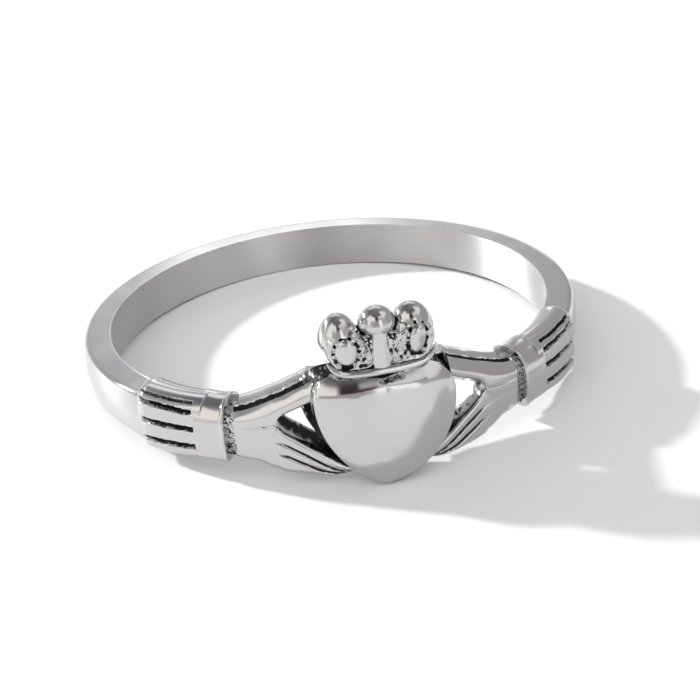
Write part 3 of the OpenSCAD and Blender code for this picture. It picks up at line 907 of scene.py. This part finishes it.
def ball(name, centre, radius, squash=(1, 1, 1), rows=32, around=52, below=1.0, rough=0.0, black=0.0):
    """A round form: rings from one pole to the other along Z, drawn in below its middle."""
    rings = []
    b = np.linspace(0, 2 * math.pi, around, endpoint=False)
    for a in np.linspace(0.04, math.pi - 0.04, rows):
        ring = np.stack([np.sin(a) * np.cos(b), np.sin(a) * np.sin(b), np.full(around, math.cos(a))], 1)
        ring = ring * radius * np.array(squash)
        ring[:, :2] *= 1 - (1 - below) * smooth((a - 1.4) / 0.75)
        if rough:
            for i in range(around):
                ring[i] *= 1 + rough * noise.noise(Vector(ring[i] * 9 / max(squash)) + Vector(centre))
        rings.append(np.array(centre) + ring)
    return skin(name, rings, black)


def front_point(x, r, z):
    return (x, -math.sqrt(r * r - x * x), z)


def on_petal(side, x, z):
    """Distance from the middle of a petal, 1 on its edge."""
    middle_x, middle_z, half_width, half_height, lean = petals[side]
    a, b = x - middle_x, z - middle_z
    return np.hypot((a * math.cos(lean) - b * math.sin(lean)) / half_width,
                    (a * math.sin(lean) + b * math.cos(lean)) / half_height)


def leaf_rows(side):
    seed = side + 3
    curve = even(rounded_curve(leaf_points, 30, True), 111)[0][:-1]
    rows, black = [], []
    shares = np.concatenate([np.linspace(0, 0.4, 5), np.linspace(0.44, 1, 42)])
    for scale, depth in follow(leaf_swell, shares):
        q = leaf_middle + (curve - leaf_middle) * scale
        x, z = q[:, 0] * crown_width / 2, leaf_at(q[:, 1])
        r = crown_back + crown_depth * depth
        r = r + 0.05 * smooth((z - 3.3) / 0.4) * smooth((0.9 - scale) / 0.1)
        ring_black = np.zeros(len(x))
        if scale < 0.99:
            out = on_petal(side, x, z)
            r = r + petal_swell * np.sqrt(np.clip(1 - (out / 0.95) ** 2, 0, 1))
            r = r - petal_ring_dip * np.exp(-(((out - 1.12) / 0.14) ** 2))
            patchy = np.array([noise.noise(Vector((a * 4, b * 4, seed + 7))) for a, b in zip(x, z)])
            ring_black = np.exp(-(((out - 1.1) / 0.12) ** 2)) * smooth((patchy + 0.12) / 0.2)
            ground = smooth((out - 1.0) / 0.15) * (1 - smooth((scale - 0.85) / 0.1))
            by_stem = smooth((petals[side][0] - 0.30 - x) / 0.15)
            lumps = np.array([noise.noise(Vector((a * 7, b * 7, seed))) for a, b in zip(x, z)])
            r = r + (0.02 + 0.09 * by_stem) * ground * lumps
            ring_black = np.maximum(ring_black, by_stem * ground * smooth((-0.08 - lumps) / 0.2))
        r = r + np.zeros(len(x))
        rows.append(np.stack([x, -np.sqrt(r * r - x * x), z], 1))
        black.append(ring_black)
    return rows, black


def arc_bar(name, shape, turn, steps, rough=0.0):
    shape, _ = even(np.vstack([shape, shape[:1]]), 91)
    rows, black = [], []
    for angle in np.linspace(-turn, turn, steps):
        section = shape[:-1].copy()
        shade = np.zeros(len(section))
        if rough:
            front = section[:, 0] > shape[:, 0].max() - 0.05
            x = shape[:, 0].max() * math.sin(angle)
            for i in np.nonzero(front)[0]:
                p = Vector((x * 7, section[i, 1] * 7, 1.5))
                hill = noise.noise(p) + 0.6 * noise.noise(p * 2.3)
                section[i, 0] += rough * hill
                shade[i] = smooth((0.05 - hill) / 0.35)
        rows.append(on_angle(section, angle))
        black.append(shade)
    return skin(name, rows, black)


root_foot, root_front = heart_rise - 0.4, rail_r - 0.2
root_shape = np.array([[crown_back, root_foot], [crown_back, leaf_z],
                       [root_front, leaf_z], [root_front, root_foot]])
joined(arc_bar("rail_root", root_shape, crown_foot / 2 / rail_r, 40, 0.04))
plate_back = crown_back + 0.15
plate_shape = np.array([
    [plate_back, rail_z], [plate_back, leaf_at(0.62)], [plate_front - 0.1, leaf_at(0.62)],
    [plate_front, leaf_at(0.55)], [plate_front, rail_z]])
joined(arc_bar("plate", plate_shape, plate_half_width / rail_r, 44, 0.09))

head_x = crown_width / 2 - outer_bead
head_z = leaf_at(0.925) - outer_bead
bead_z = heart_rise + crown_height - 0.36
for side in (-1, 1):
    joined_side("leaf", side, *leaf_rows(side))
    head = front_point(side * head_x - 0.05, rail_r - outer_bead - 0.07, head_z - 0.19)
    joined(ball("leaf_head", head, outer_bead, (1.0 + 0.04 * side, 1.0, head_stretch), below=0.6))
    shoulder = front_point(side * (head_x - 0.3), rail_r - 0.62, head_z + 0.02)
    joined(ball("leaf_shoulder", shoulder, 0.5, rough=0.06))
    nub = front_point(side * 0.66, rail_r - 0.25, leaf_at(0.42))
    joined(ball("side_nub", nub, 1.0, (0.15, 0.14, 0.3), rows=20, around=28, rough=0.35))
nub = front_point(-0.52, rail_r - 0.30, bead_z + 0.08)
joined(ball("bead_nub", nub, 1.0, (0.17, 0.2, 0.2), rows=20, around=28, rough=0.2))
stem_rows = []
b = np.linspace(0, 2 * math.pi, 56, endpoint=False)
for share in np.linspace(0, 1, 30):
    z = rail_z + share * (bead_z - rail_z)
    wide = stem_half_width - 0.04 * share + 0.05 * (1 - share) ** 3
    uneven = np.array([noise.noise(Vector((math.cos(a) * 2, math.sin(a) * 2, z * 7))) for a in b])
    side_part = np.abs(np.cos(b)) ** 2
    stem_rows.append(np.stack([wide * np.cos(b) * (1 + 0.14 * uneven * side_part) - 0.03,
                               -rail_r + 0.36 + 0.30 * np.sin(b), np.full(len(b), z)], 1))
joined(skin("stem", stem_rows))
bead = front_point(-0.02, rail_r - middle_bead + 0.01, bead_z - 0.13)
joined(ball("bead", bead, middle_bead, (1.04, 1, 1.06), 40, 64, below=0.8))

# Rail
# A half round wire runs along the foot of the crown and on up the outside of both leaves,
# thinning out below the heads. It was laid on in the wax.

wire_tree, sizes, result = new_tree("wire_along_path", [
    ("Thickness", "NodeSocketFloat"), ("End", "NodeSocketFloat"), ("Metal", "NodeSocketMaterial")])
path = new_node(wire_tree, "GeometryNodeMeshToCurve", {"Mesh": sizes["Geometry"]})
along = new_node(wire_tree, "GeometryNodeSplineParameter").outputs["Factor"]
from_middle = node_math(wire_tree, "ABSOLUTE", node_math(wire_tree, "SUBTRACT", along, 0.5))
thinned = new_node(wire_tree, "GeometryNodeSetCurveRadius", {
    "Curve": path.outputs[0],
    "Radius": node_range(wire_tree, from_middle, 0.33, 0.5, 1.0, sizes["End"])})
wire_shape = new_node(wire_tree, "GeometryNodeCurvePrimitiveCircle", {
    "Resolution": 24, "Radius": sizes["Thickness"]})
wire = new_node(wire_tree, "GeometryNodeCurveToMesh", {
    "Curve": thinned.outputs[0], "Profile Curve": wire_shape.outputs[0], "Fill Caps": True,
    "Scale": new_node(wire_tree, "GeometryNodeInputRadius").outputs[0]})
end_tree(wire_tree, wire.outputs[0])

# Sideways place and height of the wire's right half, from its end to the middle
right_side = [[1.90, 3.15], [1.86, 3.02], [1.78, 2.88], [1.58, 2.70], [1.25, 2.57],
              [0.8, 2.53], [0.3, 2.52]]
left_side = [[-x, z] for x, z in right_side[::-1]]
wire_line, _ = even(rounded_curve(right_side + left_side, 16, False), 120)
wire_r = rail_r - 0.13 - 0.10 * smooth((wire_line[:, 1] - 2.7) / 0.6)
path_mesh = bpy.data.meshes.new("rail_path")
path_mesh.from_pydata([front_point(x, r, z) for (x, z), r in zip(wire_line, wire_r)],
                      [(i, i + 1) for i in range(len(wire_line) - 1)], [])
joined(grown("rail_wire", wire_tree, {"Thickness": 0.145, "End": 0.1, "Metal": steel}, path_mesh))

# Pits
# Small uneven pits round each petal, pierced with a fine burr, and a rough hollow between the
# lobes of the heart under the rail. The wall by the right gap was scooped thinner from behind.

pit_tree, sizes, result = new_tree("pits_on_ellipse", [
    ("Half Width", "NodeSocketFloat"), ("Half Height", "NodeSocketFloat"), ("Pit", "NodeSocketFloat"),
    ("Count", "NodeSocketInt"), ("Seed", "NodeSocketInt"), ("Metal", "NodeSocketMaterial")])
oval = new_node(pit_tree, "GeometryNodeCurvePrimitiveCircle", {"Resolution": 96, "Radius": 1.0})
oval_size = new_node(pit_tree, "ShaderNodeCombineXYZ", {
    "X": sizes["Half Width"], "Y": sizes["Half Height"], "Z": 1.0})
sized_oval = new_node(pit_tree, "GeometryNodeTransform", {
    "Geometry": oval.outputs[0], "Scale": oval_size.outputs[0]})
places = new_node(pit_tree, "GeometryNodeCurveToPoints", {
    "Curve": sized_oval.outputs[0], "Count": sizes["Count"]}, mode="COUNT")
burr = new_node(pit_tree, "GeometryNodeMeshIcoSphere", {"Radius": sizes["Pit"], "Subdivisions": 2})
spread = new_node(pit_tree, "FunctionNodeRandomValue", {
    "Min": (0.55, 0.5, 0.9), "Max": (1.25, 1.15, 1.4), "Seed": sizes["Seed"]},
    data_type="FLOAT_VECTOR")
spin = new_node(pit_tree, "FunctionNodeRandomValue", {
    "Min": (0, 0, 0), "Max": (0.4, 0.4, 3.1), "Seed": sizes["Seed"]}, data_type="FLOAT_VECTOR")
burrs = new_node(pit_tree, "GeometryNodeInstanceOnPoints", {
    "Points": places.outputs[0], "Instance": burr.outputs[0],
    "Rotation": spin.outputs[0], "Scale": spread.outputs[0]})
end_tree(pit_tree, burrs.outputs[0])

pit_r = 0.075
pits_in_ring = 10
leaf_face_r = 10.27
for side, (across, height, half_width, half_height, lean) in petals.items():
    pits = grown("pits", pit_tree, {
        "Half Width": half_width * 1.14, "Half Height": half_height * 1.12, "Pit": pit_r,
        "Count": pits_in_ring, "Seed": 4 + side, "Metal": steel})
    middle = Vector(front_point(side * across, leaf_face_r, height))
    facing = (Matrix.Rotation(math.atan2(middle.x, -middle.y), 4, "Z")
              @ Matrix.Rotation(math.pi / 2, 4, "X") @ Matrix.Rotation(-side * lean, 4, "Z"))
    pits.transform(Matrix.Translation(middle) @ facing)
    scale_points.append(np.array([v.co[:] for v in pits.vertices]))
    scale_values.append(np.ones(len(pits.vertices)))
    joined(pits, "DIFFERENCE")
    crescent = front_point(side * across - 0.02, leaf_face_r + 0.02, height - 0.56)
    cut_out = ball("crescent", crescent, 1.0, (0.22, 0.12, 0.07), 20, 32, rough=0.6, black=1)
    joined(cut_out, "DIFFERENCE")
scoop = front_point(2.8, inner_r - 0.05, 0.27)
joined(ball("scoop", scoop, 1.0, (0.95, 1.0, 0.72), 24, 36), "DIFFERENCE")
# Three hollows run into one: sideways place, height, half width, half depth
for across, height, wide, deep in (
        (-0.08, 2.22, 0.17, 0.1), (0.2, 2.27, 0.22, 0.15), (0.5, 2.30, 0.2, 0.11)):
    hollow = front_point(across, 10.50, height)
    cut_out = ball("hollow", hollow, 1.0, (wide, deep, 0.10), 24, 36, rough=0.55, black=0.52)
    joined(cut_out, "DIFFERENCE")

# Finger hole
# It is bored through the casting last, so that the inside of the ring is one true cylinder.

bore_sides = 720
b = np.linspace(0, 2 * math.pi, bore_sides, endpoint=False)
bore_rows = [np.stack([inner_r * np.cos(b), inner_r * np.sin(b), np.full(bore_sides, z)], 1)
             for z in (-4.0, 7.0)]
joined(skin("bore", bore_rows), "DIFFERENCE")

# Finishing
# The casting is laid on the table as it comes to rest, leaning on the tip of the heart. How deep
# each place lies is kept with the metal, because the black scale stays in the recesses.

metal = casting.data
cleaned = bmesh.new()
cleaned.from_mesh(metal)
bmesh.ops.dissolve_degenerate(cleaned, dist=0.0005, edges=cleaned.edges)
cleaned.to_mesh(metal)
cleaned.free()
metal.update()

known = KDTree(sum(len(p) for p in scale_points))
known_black = np.concatenate(scale_values)
for i, point in enumerate(np.vstack(scale_points)):
    known.insert(point, i)
known.balance()
hull = BVHTree.FromPolygons(
    [v.co[:] for v in metal.vertices], [face.vertices[:] for face in metal.polygons])
# Rays spread evenly over the half of the sky that a place faces, and how far they look
ray_count = 26
golden_turn = 2.399963
rays = []
for i in range(ray_count):
    up = math.sqrt((i + 0.5) / ray_count)
    spin = i * golden_turn
    flat = math.sqrt(1 - up * up)
    rays.append((flat * math.cos(spin), flat * math.sin(spin), up))
reach = 0.45
same_place = 0.03
depths = np.zeros(len(metal.vertices))
insides = np.zeros(len(metal.vertices))
for i, vertex in enumerate(metal.vertices):
    co, normal = vertex.co, vertex.normal
    r = math.hypot(co.x, co.y)
    if normal.x * co.x + normal.y * co.y < -0.7 * r and r < inner_r + 0.05:
        insides[i] = 1
        continue
    if abs(math.atan2(co.x, -co.y)) > sleeve_to + 0.1:
        continue
    basis = normal.to_track_quat("Z", "X").to_matrix()
    start = co + normal * 0.004
    blocked = 0.0
    for ray in rays:
        distance = hull.ray_cast(start, basis @ Vector(ray), reach)[3]
        if distance is not None:
            blocked += 1 - 0.35 * distance / reach
    _, nearest, gap = known.find(co)
    kept_black = known_black[nearest] if gap < same_place else 0.0
    depths[i] = max(blocked / len(rays), kept_black)
# The faces of the finger hole are free of scale, also where they meet a wall that keeps it
corner_points = np.empty(len(metal.loops), np.int32)
metal.loops.foreach_get("vertex_index", corner_points)
corner_depths = depths[corner_points]
for face in metal.polygons:
    middle, out = face.center, face.normal
    r = math.hypot(middle.x, middle.y)
    if r < inner_r + 0.01 and middle.x * out.x + middle.y * out.y < -0.9 * r:
        corner_depths[face.loop_start:face.loop_start + face.loop_total] = 0
for label, domain, values in (("recess", "CORNER", corner_depths), ("inside", "POINT", insides)):
    kept = metal.attributes.new(label, "FLOAT", domain)
    kept.data.foreach_set("value", values.astype(np.float32))

hole = frame["record"]["mounts"][0]
tilt = math.atan2(hole["axis"][1], hole["axis"][2])
metal.transform(
    Matrix.Translation(hole["pos_m"]) @ Matrix.Rotation(-tilt, 4, "X") @ Matrix.Scale(mm, 4))
metal.shade_smooth()
metal.set_sharp_from_angle(angle=math.radians(38))
metal.materials.clear()
metal.materials.append(steel)
casting.name = metal.name = "ring_casting"
print("ring_casting triangles", sum(len(face.vertices) - 2 for face in metal.polygons))

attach(casting, "root")
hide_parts("ring")
